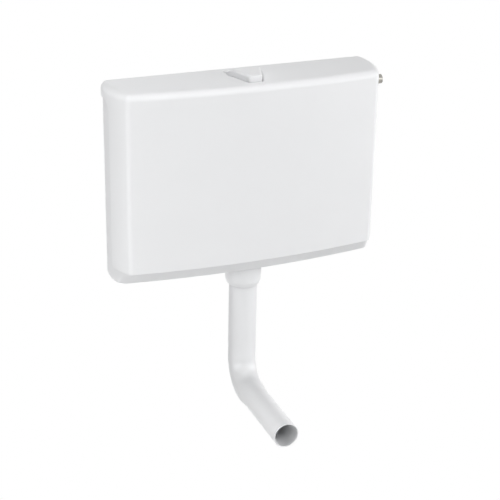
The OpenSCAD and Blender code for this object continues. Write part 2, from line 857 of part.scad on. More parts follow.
// Float and plunger: the arm's short leg pushes the plunger in as the float rises

arm_tilt = 45;           // arm below level, at rest
leg_tilt = 20;           // leg leaning away from the plunger, at rest
leg_l = 12;
arm_w = 12;
arm_t = 5;
arm_hub_r = 6;
arm_hub_in = 3;          // where the arm and the leg start inside the hub
hub_over = 0.3;          // how far the hub stands out of the arm's sides
lug_gap = 1;
lug_t = 2.5;
lug_h = 9;
pivot_out = 16;
float_pivot_x = body_x0 - pivot_out;
float_pivot_z = inlet_z - leg_l;
float_screw_r = 2;
screw_out = 5;
screw_back = 5;
screw_gap = 0.8;
plunger_end = float_pivot_x - leg_l*sin(leg_tilt) + screw_out*cos(leg_tilt) + float_screw_r + screw_gap;
float_back = 14;         // how far the float reaches behind its arm
float_y = inlet_y - float_l/2 + float_back;

module fill_valve_cap() {
    lug_in = arm_w/2 + lug_gap;
    color(blue) difference() {
        union() {
            rod_x(cap_r, body_x0 - cap_end, body_x0 + cap_skirt, inlet_y, inlet_z);
            for (s = [-1, 1]) translate([0, inlet_y + s*(lug_in + lug_t/2), 0])
                block([float_pivot_x - arm_hub_r, -lug_t/2, float_pivot_z - lug_h/2],
                    [body_x0 - cap_end + past, lug_t/2, float_pivot_z + lug_h/2]);
        }
        rod_x(body_r + fit_gap, body_x0, body_x0 + cap_skirt + past, inlet_y, inlet_z);
        rod_x(plunger_r + run_gap, body_x0 - cap_end - past, body_x0 + past, inlet_y, inlet_z);
        rod_y(pin_r + fit_gap, inlet_y - cap_r, inlet_y + cap_r, float_pivot_x, float_pivot_z);
    }
}

module valve_plunger() {
    head = body_x0 + plunger_in;
    color(grey) {
        rod_x(plunger_r, plunger_end, head + plunger_head_l/2, inlet_y, inlet_z);
        rod_x(plunger_head_r, head, head + plunger_head_l, inlet_y, inlet_z);
    }
}

module at_float_pivot() {
    translate([float_pivot_x, inlet_y, float_pivot_z]) children();
}

module arm_bar() {
    rotate([0, -arm_tilt, 0]) block([-arm_l, -arm_w/2, -arm_t/2], [-arm_hub_in, arm_w/2, arm_t/2]);
}

module float_arm() {
    color(warm_white) at_float_pivot() difference() {
        union() {
            rod_y(arm_hub_r, -arm_w/2 - hub_over, arm_w/2 + hub_over, 0, 0);
            arm_bar();
            rotate([0, -leg_tilt, 0])
                block([-arm_t/2, -arm_w/2, arm_hub_in], [arm_t/2, arm_w/2, leg_l + arm_t/2]);
        }
        rod_y(pin_r + run_gap, -arm_w, arm_w, 0, 0);
        rotate([0, -leg_tilt, 0]) rod_x(float_screw_r + fit_gap, -arm_t, arm_t, 0, leg_l);
    }
}

module float_screw() {
    color(brass) at_float_pivot() rotate([0, -leg_tilt, 0]) {
        rod_x(float_screw_r, -screw_back, screw_out, 0, leg_l);
        translate([screw_out, 0, leg_l]) sphere(float_screw_r);
    }
}

module float_pin() {
    half = arm_w/2 + lug_gap + lug_t;
    color(steel) rod_y(pin_r, inlet_y - half, inlet_y + half, float_pivot_x, float_pivot_z);
}

module float_drum() {
    color(foam) difference() {
        rod_y(float_d/2, float_y - float_l/2, float_y + float_l/2,
            float_pivot_x - arm_l*cos(arm_tilt), float_pivot_z - arm_l*sin(arm_tilt));
        at_float_pivot() arm_bar();
    }
}

tank();
cover_hood();
button_frame();
flush_key();
key_pin();
key_spring();
push_stem();
actuator_bridge();
actuator_lever();
lever_pin();
lift_rod();
overflow_tube();
flush_seal();
seal_ring();
valve_float();
valve_cage();
valve_base();
outlet_gasket();
outlet_locknut();
coupling_nut();
cone_seal();
flush_bend();
inlet_nipple();
inlet_gasket();
inlet_washer();
inlet_locknut();
inlet_strainer();
fill_valve_body();
fill_valve_cap();
valve_plunger();
float_arm();
float_pin();
float_drum();
float_screw();
fill_tube();
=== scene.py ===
import json
import math

import bmesh
import bpy
from mathutils import Matrix, Vector


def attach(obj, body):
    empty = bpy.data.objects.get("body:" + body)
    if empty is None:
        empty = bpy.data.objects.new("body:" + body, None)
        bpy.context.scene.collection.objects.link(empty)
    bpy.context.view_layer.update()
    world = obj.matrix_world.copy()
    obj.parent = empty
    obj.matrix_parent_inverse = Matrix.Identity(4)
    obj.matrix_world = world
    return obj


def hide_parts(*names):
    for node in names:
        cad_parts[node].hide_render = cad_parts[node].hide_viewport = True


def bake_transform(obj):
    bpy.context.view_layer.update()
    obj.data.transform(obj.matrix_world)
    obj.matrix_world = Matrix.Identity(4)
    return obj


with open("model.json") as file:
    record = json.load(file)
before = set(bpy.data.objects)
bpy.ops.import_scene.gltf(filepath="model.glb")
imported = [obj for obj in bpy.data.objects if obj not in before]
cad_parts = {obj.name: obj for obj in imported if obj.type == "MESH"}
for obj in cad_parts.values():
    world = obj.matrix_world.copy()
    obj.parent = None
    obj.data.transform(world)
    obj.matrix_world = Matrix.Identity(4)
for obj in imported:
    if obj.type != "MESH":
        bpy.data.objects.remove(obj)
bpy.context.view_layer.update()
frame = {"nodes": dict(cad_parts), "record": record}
nodes = frame["nodes"]
scene = bpy.context.scene
scene.view_settings.view_transform = "Standard"
mm = 0.001
print("frame loaded:", len(nodes), "nodes")

# camera

photoView = {
    "yaw": 22.428, "pitch": 23.758, "roll": 1.095,   # degrees
    "focal": 1354.15, "picture": 500,                # pixels
    "sensor": 36,                                    # mm
    "farthest": 50,                                  # m
    "offset": (-23.019, -308.26, 2288.974),          # mm, in the camera's own axes from the hood's top
    "hoodTop": 44,
}


def aimCamera(view):
    yaw, pitch, roll = (math.radians(view[k]) for k in ("yaw", "pitch", "roll"))
    ahead = Vector((math.sin(yaw)*math.cos(pitch), math.cos(yaw)*math.cos(pitch), -math.sin(pitch)))
    right = Vector((math.cos(yaw), -math.sin(yaw), 0))
    up = right.cross(ahead)
    across = math.cos(roll)*right + math.sin(roll)*up
    upright = math.cos(roll)*up - math.sin(roll)*right
    sideways, rise, back = view["offset"]
    place = -sideways*across + rise*upright - back*ahead + Vector((0, 0, view["hoodTop"]))
    data = bpy.data.cameras.new("photoCamera")
    data.sensor_width = view["sensor"]
    data.lens = data.sensor_width*view["focal"]/view["picture"]
    data.clip_end = view["farthest"]
    camera = bpy.data.objects.new("photoCamera", data)
    camera.matrix_world = Matrix((
        (across.x, upright.x, -ahead.x, place.x*mm),
        (across.y, upright.y, -ahead.y, place.y*mm),
        (across.z, upright.z, -ahead.z, place.z*mm),
        (0, 0, 0, 1)))
    scene.collection.objects.link(camera)
    scene.camera = camera


aimCamera(photoView)
print("camera set")

# finishes

noiseSpan = (0.3, 0.7)   # where most of a noise's values lie
noiseDetail = {"cloud": 3, "gloss": 5, "skin": 2, "sheen": 4, "lines": 3}
glossFiner = 4           # times the scale of the clouds
bumpDepth = {"plastic": 0.0002, "metal": 0.0001, "foam": 0.0006}   # m


def startFinish(name):
    finish = bpy.data.materials.new(name)
    finish.use_nodes = True
    tree = finish.node_tree
    coords = tree.nodes.new("ShaderNodeTexCoord")
    return finish, tree, tree.nodes["Principled BSDF"], coords


def addNoise(tree, coords, scale, detail, stretch=(1, 1, 1)):
    place = tree.nodes.new("ShaderNodeMapping")
    place.inputs["Scale"].default_value = stretch
    tree.links.new(coords.outputs["Object"], place.inputs["Vector"])
    noise = tree.nodes.new("ShaderNodeTexNoise")
    noise.inputs["Scale"].default_value = scale
    noise.inputs["Detail"].default_value = noiseDetail[detail]
    tree.links.new(place.outputs["Vector"], noise.inputs["Vector"])
    return noise.outputs["Fac"]


def spread(tree, source, low, high):
    span = tree.nodes.new("ShaderNodeMapRange")
    span.inputs["From Min"].default_value, span.inputs["From Max"].default_value = noiseSpan
    span.inputs["To Min"].default_value = low
    span.inputs["To Max"].default_value = high
    tree.links.new(source, span.inputs["Value"])
    return span.outputs["Result"]


def tint(tree, source, first, second):
    mix = tree.nodes.new("ShaderNodeMix")
    mix.data_type = "RGBA"
    mix.inputs["A"].default_value = (*first, 1)
    mix.inputs["B"].default_value = (*second, 1)
    tree.links.new(source, mix.inputs["Factor"])
    return mix.outputs["Result"]


def bumpUp(tree, shader, source, strength, distance):
    bump = tree.nodes.new("ShaderNodeBump")
    bump.inputs["Strength"].default_value = strength
    bump.inputs["Distance"].default_value = distance
    tree.links.new(source, bump.inputs["Height"])
    tree.links.new(bump.outputs["Normal"], shader.inputs["Normal"])


# moulded plastic: faint clouding of the colour, uneven gloss, a fine skin and, where asked, painted shade
# that darkens the colour in hollows and creases
def mouldedPlastic(name, look):
    finish, tree, shader, coords = startFinish(name)
    dull = [c*(1 - look["cloud"]) for c in look["colour"]]
    clouds = addNoise(tree, coords, look["cloudScale"], "cloud")
    shade = tint(tree, spread(tree, clouds, 0, 1), dull, look["colour"])
    # painted shade: ambient occlusion darkens the base colour where nearby surfaces close in, as in the
    # pipe's bore
    if "paintedShadeReach" in look:
        paintedShadeOcclusion = tree.nodes.new("ShaderNodeAmbientOcclusion")
        paintedShadeOcclusion.inputs["Distance"].default_value = look["paintedShadeReach"]
        paintedShade = tint(tree, paintedShadeOcclusion.outputs["AO"], [c*look["paintedShade"] for c in look["colour"]], (1, 1, 1))
        mix = tree.nodes.new("ShaderNodeMix")
        mix.data_type = "RGBA"
        mix.blend_type = "MULTIPLY"
        mix.inputs["Factor"].default_value = 1
        tree.links.new(shade, mix.inputs["A"])
        tree.links.new(paintedShade, mix.inputs["B"])
        shade = mix.outputs["Result"]
    tree.links.new(shade, shader.inputs["Base Color"])
    gloss = addNoise(tree, coords, look["cloudScale"]*glossFiner, "gloss")
    low, high = look["rough"]
    tree.links.new(spread(tree, gloss, low, high), shader.inputs["Roughness"])
    skin = addNoise(tree, coords, look["skinScale"], "skin")
    bumpUp(tree, shader, skin, look["skin"], bumpDepth["plastic"])
    shader.inputs["Specular IOR Level"].default_value = look["gloss"]
    return finish


# metal: turned or drawn lines along one axis over a cloudy sheen
def workedMetal(name, look):
    finish, tree, shader, coords = startFinish(name)
    shader.inputs["Metallic"].default_value = 1
    worn = [c*look["worn"] for c in look["colour"]]
    clouds = addNoise(tree, coords, look["cloudScale"], "sheen")
    tree.links.new(tint(tree, spread(tree, clouds, 0, 1), worn, look["colour"]), shader.inputs["Base Color"])
    lines = addNoise(tree, coords, look["lineScale"], "lines", look["lines"])
    low, high = look["rough"]
    tree.links.new(spread(tree, lines, low, high), shader.inputs["Roughness"])
    bumpUp(tree, shader, lines, look["skin"], bumpDepth["metal"])
    return finish


def mouldedFoam(name, look):
    finish, tree, shader, coords = startFinish(name)
    cells = tree.nodes.new("ShaderNodeTexVoronoi")
    cells.inputs["Scale"].default_value = look["cellScale"]
    tree.links.new(coords.outputs["Object"], cells.inputs["Vector"])
    dark = [c*look["dark"] for c in look["colour"]]
    tree.links.new(tint(tree, cells.outputs["Distance"], look["colour"], dark), shader.inputs["Base Color"])
    bumpUp(tree, shader, cells.outputs["Distance"], look["skin"], bumpDepth["foam"])
    shader.inputs["Roughness"].default_value = look["rough"]
    return finish


hoodWhite = mouldedPlastic("hoodWhite", {
    "colour": (0.825, 0.83, 0.84), "cloud": 0.012, "cloudScale": 9, "rough": (0.36, 0.44),
    "skinScale": 900, "skin": 0.015, "gloss": 0.36})
tankWhite = mouldedPlastic("tankWhite", {
    "colour": (0.795, 0.8, 0.81), "cloud": 0.02, "cloudScale": 14, "rough": (0.38, 0.5),
    "skinScale": 700, "skin": 0.05, "gloss": 0.45})
# the bend and the nut carry painted shade in the bore and other hollows
pipeWhite = mouldedPlastic("pipeWhite", {
    "colour": (0.815, 0.82, 0.83), "cloud": 0.015, "cloudScale": 22, "rough": (0.28, 0.36),
    "skinScale": 900, "skin": 0.03, "gloss": 0.5, "paintedShadeReach": 0.03, "paintedShade": 0.44})
innerWhite = mouldedPlastic("innerWhite", {
    "colour": (0.76, 0.76, 0.74), "cloud": 0.03, "cloudScale": 40, "rough": (0.35, 0.5),
    "skinScale": 1100, "skin": 0.06, "gloss": 0.45})
innerGrey = mouldedPlastic("innerGrey", {
    "colour": (0.36, 0.38, 0.41), "cloud": 0.08, "cloudScale": 45, "rough": (0.38, 0.52),
    "skinScale": 1100, "skin": 0.08, "gloss": 0.45})
innerBlue = mouldedPlastic("innerBlue", {
    "colour": (0.07, 0.2, 0.46), "cloud": 0.12, "cloudScale": 45, "rough": (0.32, 0.45),
    "skinScale": 1100, "skin": 0.06, "gloss": 0.5})
sealBlack = mouldedPlastic("sealBlack", {
    "colour": (0.025, 0.025, 0.028), "cloud": 0.3, "cloudScale": 60, "rough": (0.55, 0.75),
    "skinScale": 1600, "skin": 0.15, "gloss": 0.35})
turnedBrass = workedMetal("turnedBrass", {   # plated, so nearly grey
    "colour": (0.4, 0.39, 0.36), "worn": 0.8, "cloudScale": 120, "rough": (0.12, 0.26),
    "lineScale": 60, "lines": (60, 2, 2), "skin": 0.06})
drawnSteel = workedMetal("drawnSteel", {
    "colour": (0.6, 0.61, 0.63), "worn": 0.8, "cloudScale": 120, "rough": (0.22, 0.4),
    "lineScale": 60, "lines": (2, 40, 40), "skin": 0.05})
floatFoam = mouldedFoam("floatFoam", {
    "colour": (0.82, 0.81, 0.77), "dark": 0.93, "cellScale": 320, "skin": 0.25, "rough": 0.75})
print("finishes made")

# shared shapes

# plan of the hood, in mm
outline = {"hoodWidth": 476, "frontWidth": 443, "depth": 110, "bow": 16, "sideBow": 10}
steps = {"side": 16, "corner": 10, "bow": 48, "round": 9, "lip": 3, "rim": 8, "soft": 5, "keyEdge": 6}
sides = {"outlet": 96, "inlet": 64, "screw": 48, "boss": 48, "pin": 32}   # of a round
past = 5           # how far a cutting tool runs past what it cuts, mm
weld = 0.001       # points closer than this are one, mm
near = 0.0001      # counts as on the wall, mm
sharpest = 0.02    # least radius of a corner, mm

bowRadius = ((outline["frontWidth"]/2)**2 + outline["bow"]**2)/(2*outline["bow"])
bowCentre = Vector((0, bowRadius - outline["depth"]))
sideRun = (outline["hoodWidth"] - outline["frontWidth"])/2
sideDepth = outline["depth"] - outline["bow"]
sideIn = Vector((-sideDepth, sideRun)).normalized()
sideRadius = ((math.hypot(sideRun, sideDepth)/2)**2 + outline["sideBow"]**2)/(2*outline["sideBow"])
sideCentre = Vector((outline["hoodWidth"] - sideRun, -sideDepth))/2 + sideIn*(sideRadius - outline["sideBow"])


def sideX(inset, y):
    return sideCentre.x + math.sqrt((sideRadius - inset)**2 - (y - sideCentre.y)**2)


def frontY(inset, x):
    return bowCentre.y - math.sqrt((bowRadius - inset)**2 - x*x)


# where the right side and the front meet, each drawn in by its own inset
def cornerPoint(sideInset, frontInset):
    apart = bowCentre - sideCentre
    reach = sideRadius - sideInset
    along = (reach**2 - (bowRadius - frontInset)**2 + apart.length_squared)/(2*apart.length)
    ahead = apart.normalized()
    return sideCentre + along*ahead + math.sqrt(reach**2 - along**2)*Vector((ahead.y, -ahead.x))


# edges from the right rear, round the bowed front, to the left rear
def planChain(bm, z, inset, radius, frontInset=None, back=0, closed=False):
    before = set(bm.edges)
    radius = max(radius, sharpest)
    centre = cornerPoint(inset + radius, (inset if frontInset is None else frontInset) + radius)
    start = tip = bm.verts.new((sideX(inset, back), back, z))
    rearTurn = math.atan2(back - sideCentre.y, start.co.x - sideCentre.x)
    sideTurn = math.atan2(centre.y - sideCentre.y, centre.x - sideCentre.x)
    frontTurn = math.atan2(centre.y - bowCentre.y, centre.x)
    turns = (((sideCentre.x, sideCentre.y, z), sideTurn - rearTurn, steps["side"]),
             ((centre.x, centre.y, z), frontTurn - sideTurn, steps["corner"]),
             ((0, bowCentre.y, z), -math.pi - 2*frontTurn, steps["bow"]),
             ((-centre.x, centre.y, z), frontTurn - sideTurn, steps["corner"]),
             ((-sideCentre.x, sideCentre.y, z), sideTurn - rearTurn, steps["side"]))
    for cent, angle, count in turns:
        swept = bmesh.ops.spin(bm, geom=[tip], cent=cent, axis=(0, 0, 1), dvec=(0, 0, 0),
                               angle=angle, steps=count)
        tip = swept["geom_last"][0]
    tip.co = (-start.co.x, back, z)
    if closed:
        bm.edges.new((tip, start))
    return [e for e in bm.edges if e not in before]


def loft(bm, chains):
    for first, second in zip(chains, chains[1:]):
        bmesh.ops.bridge_loops(bm, edges=first + second)


def quarter(count):
    return [math.pi/2*i/count for i in range(count + 1)]


# a box between two corners
def addBlock(bm, low, high):
    made = bmesh.ops.create_cube(bm, size=1)["verts"]
    size = [h - l for l, h in zip(low, high)]
    bmesh.ops.scale(bm, vec=size, verts=made)
    bmesh.ops.translate(bm, vec=[(l + h)/2 for l, h in zip(low, high)], verts=made)


def addRod(bm, radius, length, centre, axis, segments):
    made = bmesh.ops.create_cone(bm, cap_ends=True, segments=segments, radius1=radius, radius2=radius,
                                 depth=length)["verts"]
    turn = {"X": Matrix.Rotation(math.pi/2, 3, "Y"), "Y": Matrix.Rotation(math.pi/2, 3, "X"),
            "Z": Matrix.Identity(3)}[axis]
    bmesh.ops.rotate(bm, matrix=turn, verts=made)
    bmesh.ops.translate(bm, vec=centre, verts=made)


# a turned piece: a closed profile of (radius, height) points spun about an upright axis
def addTurned(bm, profile, centre, segments):
    ring = [bm.verts.new((r, 0, z)) for r, z in profile]
    edges = [bm.edges.new((a, b)) for a, b in zip(ring, ring[1:] + ring[:1])]
    before = set(bm.verts) - set(ring)
    bmesh.ops.spin(bm, geom=ring + edges, cent=(0, 0, 0), axis=(0, 0, 1), dvec=(0, 0, 0),
                   angle=2*math.pi, steps=segments, use_merge=True)
    made = [v for v in bm.verts if v not in before]
    bmesh.ops.translate(bm, vec=centre, verts=made)


def makePiece(name, bm, finish):
    bmesh.ops.remove_doubles(bm, verts=bm.verts, dist=weld)
    bmesh.ops.recalc_face_normals(bm, faces=bm.faces)
    bmesh.ops.scale(bm, vec=(mm, mm, mm), verts=bm.verts)
    mesh = bpy.data.meshes.new(name)
    bm.to_mesh(mesh)
    bm.free()
    piece = bpy.data.objects.new(name, mesh)
    scene.collection.objects.link(piece)
    mesh.materials.append(finish)
    return piece


def carve(piece, tool, mode="DIFFERENCE"):
    cutter = makePiece(piece.name + "Tool", tool, piece.data.materials[0])
    step = piece.modifiers.new("cut", "BOOLEAN")
    step.operation = mode
    step.solver = "EXACT"
    step.object = cutter
    graph = bpy.context.evaluated_depsgraph_get()
    result = bpy.data.meshes.new_from_object(piece.evaluated_get(graph))
    piece.modifiers.clear()
    old = piece.data
    piece.data = result
    name = old.name
    bpy.data.meshes.remove(old)
    result.name = name
    spare = cutter.data
    bpy.data.objects.remove(cutter)
    bpy.data.meshes.remove(spare)


def finishPiece(piece, body, replaced, angle=32):
    mesh = piece.data
    mesh.polygons.foreach_set("use_smooth", [True]*len(mesh.polygons))
    mesh.set_sharp_from_angle(angle=math.radians(angle))
    even = piece.modifiers.new("evenNormals", "WEIGHTED_NORMAL")
    even.keep_sharp = True
    if body:
        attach(piece, body)
    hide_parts(*replaced)
    loose = bmesh.new()
    loose.from_mesh(mesh)
    holes = sum(1 for e in loose.edges if not e.is_manifold)
    print("made", piece.name, len(mesh.polygons), "faces,", holes, "open edges")
    loose.free()


# flush key opening, as a tongue: straight sides, then a tapered nose with rounded corners

keyPlan = {"width": 59, "set": 13, "straight": 25, "nose": 51, "frontWidth": 25, "corner": 6, "gap": 1.4,
           "turns": 12}
keyKneeY = -keyPlan["set"] - keyPlan["straight"]
keyFrontY = keyKneeY - keyPlan["nose"]
keyTaper = math.atan((keyPlan["width"] - keyPlan["frontWidth"])/2/keyPlan["nose"])
keyCorner = Vector((
    keyPlan["width"]/2 - keyPlan["corner"]/math.cos(keyTaper)
    - (keyPlan["nose"] - keyPlan["corner"])*math.tan(keyTaper), keyFrontY + keyPlan["corner"]))


def tongueLoop(bm, shrink, z):
    before = set(bm.edges)
    half = keyPlan["width"]/2 - shrink
    radius = keyPlan["corner"] - shrink
    rears, fronts = [], []
    for s in (-1, 1):
        rear = bm.verts.new((s*half, -keyPlan["set"] - shrink, z))
        knee = bm.verts.new((s*half, keyKneeY + shrink*math.tan(keyTaper/2), z))
        cheek = bm.verts.new((s*(keyCorner.x + radius*math.cos(keyTaper)),
                              keyCorner.y - radius*math.sin(keyTaper), z))
        bm.edges.new((rear, knee))
        bm.edges.new((knee, cheek))
        swept = bmesh.ops.spin(bm, geom=[cheek], cent=(s*keyCorner.x, keyCorner.y, z), axis=(0, 0, 1),
                               dvec=(0, 0, 0), angle=-s*(math.pi/2 - keyTaper), steps=keyPlan["turns"])
        rears.append(rear)
        fronts.append(swept["geom_last"][0])
    bm.edges.new(rears)
    bm.edges.new(fronts)
    return [e for e in bm.edges if e not in before]


# cover hood

hood = {"top": 44, "low": -268, "wall": 2.5, "edge": 12, "lip": 0.9, "openingLip": 0.9,
        "skirt": 22, "returnEdge": -48, "returnRound": 20, "returnSteps": 12,
        "ribs": (110, 185), "ribWidth": 3, "ribFront": (3, 9.5), "ribBack": (-6.5, -0.5), "rim": 28,
        "cutReach": 300, "cutPast": 20}


def buildHood():
    bm = bmesh.new()
    top, low, wall, edge, lip = (hood[k] for k in ("top", "low", "wall", "edge", "lip"))
    inner = edge - wall
    rings = [(edge*(1 - math.sin(a)), top - edge*(1 - math.cos(a))) for a in quarter(steps["round"])]
    rings += [(lip*(1 - math.cos(a)), low + lip*(1 - math.sin(a))) for a in quarter(steps["lip"])]
    rings += [(wall - lip*(1 - math.sin(a)), low + lip*(1 - math.cos(a))) for a in quarter(steps["lip"])]
    rings += [(edge - inner*math.cos(a), top - edge + inner*math.sin(a)) for a in quarter(steps["round"])]
    chains = [planChain(bm, z, inset, edge - inset) for inset, z in rings]
    loft(bm, chains)
    # flat top and its underside, each with the key's opening in it
    for chain, shrink, z in ((chains[0], -hood["openingLip"], top), (chains[-1], 0, top - wall)):
        ends = [v for e in chain for v in e.verts if abs(v.co.y) < near]
        back = bm.edges.new((min(ends, key=lambda v: v.co.x), max(ends, key=lambda v: v.co.x)))
        tongue = tongueLoop(bm, shrink, z)
        bmesh.ops.triangle_fill(bm, use_beauty=True, edges=chain + [back] + tongue, normal=(0, 0, 1))
        if shrink:
            rim = [tongue]
    opening = hood["openingLip"]
    rim += [tongueLoop(bm, -opening*(1 - math.sin(a)), top - opening*(1 - math.cos(a)))
            for a in quarter(steps["lip"])[1:]]
    loft(bm, rim + [tongue])
    bmesh.ops.remove_doubles(bm, verts=bm.verts, dist=weld)
    bmesh.ops.holes_fill(bm, edges=bm.edges, sides=0)
    piece = makePiece("coverHood", bm, hoodWhite)
    # sides left open behind the return and under the skirt
    tool = bmesh.new()
    upper, lower = top - hood["skirt"], low - hood["cutPast"]
    front, rear, reach = hood["returnEdge"], hood["cutPast"], hood["cutReach"]
    corners = [tool.verts.new((-reach, y, z)) for y, z in (
        (front, lower), (rear, lower), (rear, upper), (front, upper))]
    tool.faces.new(corners)
    bmesh.ops.bevel(tool, geom=[corners[3]], offset=hood["returnRound"], offset_type="OFFSET",
                    segments=hood["returnSteps"], profile=0.5, affect="VERTICES", material=-1)
    pushed = bmesh.ops.extrude_face_region(tool, geom=tool.faces[:])["geom"]
    far = [v for v in pushed if isinstance(v, bmesh.types.BMVert)]
    bmesh.ops.translate(tool, vec=(2*reach, 0, 0), verts=far)
    carve(piece, tool)
    # ribs that stand on the tank's rim
    tool = bmesh.new()
    half = hood["ribWidth"]/2
    for x in hood["ribs"]:
        for s in (-1, 1):
            ahead = [frontY(inset, x) for inset in hood["ribFront"]]
            behind = hood["ribBack"]
            addBlock(tool, (s*x - half, ahead[0], hood["rim"]), (s*x + half, ahead[1], top - edge/2))
            addBlock(tool, (s*x - half, behind[0], hood["rim"]), (s*x + half, behind[1], top - wall/2))
    carve(piece, tool, "UNION")
    finishPiece(piece, "hood", ["cover_hood"])


buildHood()

# tank

tank = {"base": -294, "rim": 28, "inset": 3, "wall": 3.5, "slopeHeight": 28, "slopeDepth": 22, "soft": 4.2,
        "upright": 20, "lip": 0.8, "outletY": -46, "outletHole": 27.3, "padRadius": 36, "padHeight": 3,
        "inletY": -22, "inletZ": 6, "inletHole": 8.6, "bossRadius": 12, "bossStand": 0.75,
        "seatRadius": 13.3, "screwX": 150, "screwHole": 4, "holeDepth": 30, "screwDepth": 20}


def buildTank():
    bm = bmesh.new()
    base, rim, inset, wall = (tank[k] for k in ("base", "rim", "inset", "wall"))
    soft, upright, lip = (tank[k] for k in ("soft", "upright", "lip"))
    # sloped lower edge: softened where it meets the underside and the upright front
    lean = math.atan2(tank["slopeDepth"], tank["slopeHeight"])
    toe = Vector((tank["slopeDepth"] + soft*math.tan((math.pi/2 - lean)/2), base + soft))
    knee = Vector((soft, base + tank["slopeHeight"] + soft*math.tan(lean/2)))
    count = steps["soft"]
    turns = [(toe, math.pi/2 - (math.pi/2 - lean)*i/count) for i in range(count + 1)]
    turns += [(knee, lean*(1 - i/count)) for i in range(count + 1)]

    def wallRings(depth):
        return [(inset + depth, inset + mid.x - (soft - depth)*math.cos(a),
                 mid.y - (soft - depth)*math.sin(a), -depth) for mid, a in turns]

    rings = wallRings(0)
    for i in range(steps["rim"] + 1):
        turn = math.pi*i/steps["rim"]
        across = wall/2*(1 - math.cos(turn))
        rings.append((inset + across, None, rim - lip*(1 - math.sin(turn)), -across))
    rings += wallRings(wall)[::-1]
    chains = [planChain(bm, z, side, upright - side + inset, front, back, True)
              for side, front, z, back in rings]
    loft(bm, chains)
    for chain in (chains[0], chains[-1]):
        bmesh.ops.edgeloop_fill(bm, edges=chain)
    piece = makePiece("tankShell", bm, tankWhite)
    pad = bmesh.new()
    outlet = (0, tank["outletY"])
    padTall = wall + tank["padHeight"]
    addRod(pad, tank["padRadius"], padTall, (*outlet, base + padTall/2), "Z", sides["outlet"])
    bossOut = sideX(inset, sideCentre.y) + tank["bossStand"]
    bossIn = sideX(inset + wall, tank["inletY"] + tank["seatRadius"]) - tank["bossStand"]
    inlet = ((bossOut + bossIn)/2, tank["inletY"], tank["inletZ"])
    addRod(pad, tank["bossRadius"], bossOut - bossIn, inlet, "X", sides["inlet"])
    carve(piece, pad, "UNION")
    holes = bmesh.new()
    addRod(holes, tank["outletHole"], tank["holeDepth"], (*outlet, base), "Z", sides["outlet"])
    addRod(holes, tank["inletHole"], tank["holeDepth"], inlet, "X", sides["inlet"])
    for s in (-1, 1):
        addRod(holes, tank["screwHole"], tank["screwDepth"], (s*tank["screwX"], 0, 0), "Y", sides["screw"])
    carve(piece, holes)
    finishPiece(piece, "tank", ["tank"])


buildTank()

# flush key: a hollow cap that rises from the rear to a blunt nose

key = {"top": 44, "rearRise": 1, "rise": 12, "frontFall": 1, "ramp": 34, "wall": 2.2, "edge": 4.2,
       "noseEdge": 0.5, "skirt": 4, "heel": 11, "heelLength": 14, "across": 20, "rows": 40, "cornerRows": 10,
       "stemY": -81, "stemRadius": 3.5, "bossRadius": 6, "bossHeight": 8, "bossInto": 1, "hingeY": -19.5,
       "hingeZ": 37, "pinRadius": 1.55}
keyRear = -keyPlan["set"] - keyPlan["gap"]
keyFront = keyFrontY + keyPlan["gap"]


def keyTop(y):
    along = min(1, max(0, (keyRear - y)/key["ramp"]))
    ahead = max(0, (keyRear - key["ramp"] - y)/(keyRear - key["ramp"] - keyFront))
    swell = (key["rise"] - key["rearRise"])*(1 - math.cos(math.pi*along))/2
    return key["top"] + key["rearRise"] + swell - key["frontFall"]*ahead


# closed body under the key's upper face: starts that far in and that much lower, flat at low
def keyBody(start, lower, low, edge=0):
    bm = bmesh.new()
    acrossTag = bm.verts.layers.float.new("across")
    alongTag = bm.verts.layers.float.new("along")
    flank = 1 - key["cornerRows"]/key["rows"]

    def settle(v, inset, fall):
        along = v[alongTag]
        ease = 1 - (1 - key["noseEdge"])*max(0, along - flank)/(1 - flank)
        gap, drop = start + inset*ease, lower + fall*ease
        radius = keyPlan["corner"] - gap
        rear = -keyPlan["set"] - gap
        if along <= flank:
            cheek = keyCorner.y - radius*math.sin(keyTaper)
            y = rear + (cheek - rear)*along/flank
            knee = keyKneeY + gap*math.tan(keyTaper/2)
            half = keyPlan["width"]/2 - gap - max(0, knee - y)*math.tan(keyTaper)
        else:
            turn = keyTaper + (math.pi/2 - keyTaper)*(along - flank)/(1 - flank)
            y = keyCorner.y - radius*math.sin(turn)
            half = keyCorner.x + radius*math.cos(turn)
        v.co = (v[acrossTag]*half, y, keyTop(y) - drop)

    for v in bmesh.ops.create_grid(bm, x_segments=key["across"], y_segments=key["rows"], size=1)["verts"]:
        v[acrossTag], v[alongTag] = v.co.x, (1 - v.co.y)/2
        settle(v, edge, 0)
    # rounded edge, ring by ring, then the upright wall
    rounds = quarter(steps["keyEdge"])[1:] if edge else []
    rings = [(edge*(1 - math.sin(a)), edge*(1 - math.cos(a))) for a in rounds]
    for ring in rings + [None]:
        rim = [e for e in bm.edges if e.is_boundary]
        for v in bmesh.ops.extrude_edge_only(bm, edges=rim)["geom"]:
            if isinstance(v, bmesh.types.BMVert):
                if ring:
                    settle(v, *ring)
                else:
                    v.co.z = low
    bmesh.ops.edgeloop_fill(bm, edges=[e for e in bm.edges if e.is_boundary])
    return bm


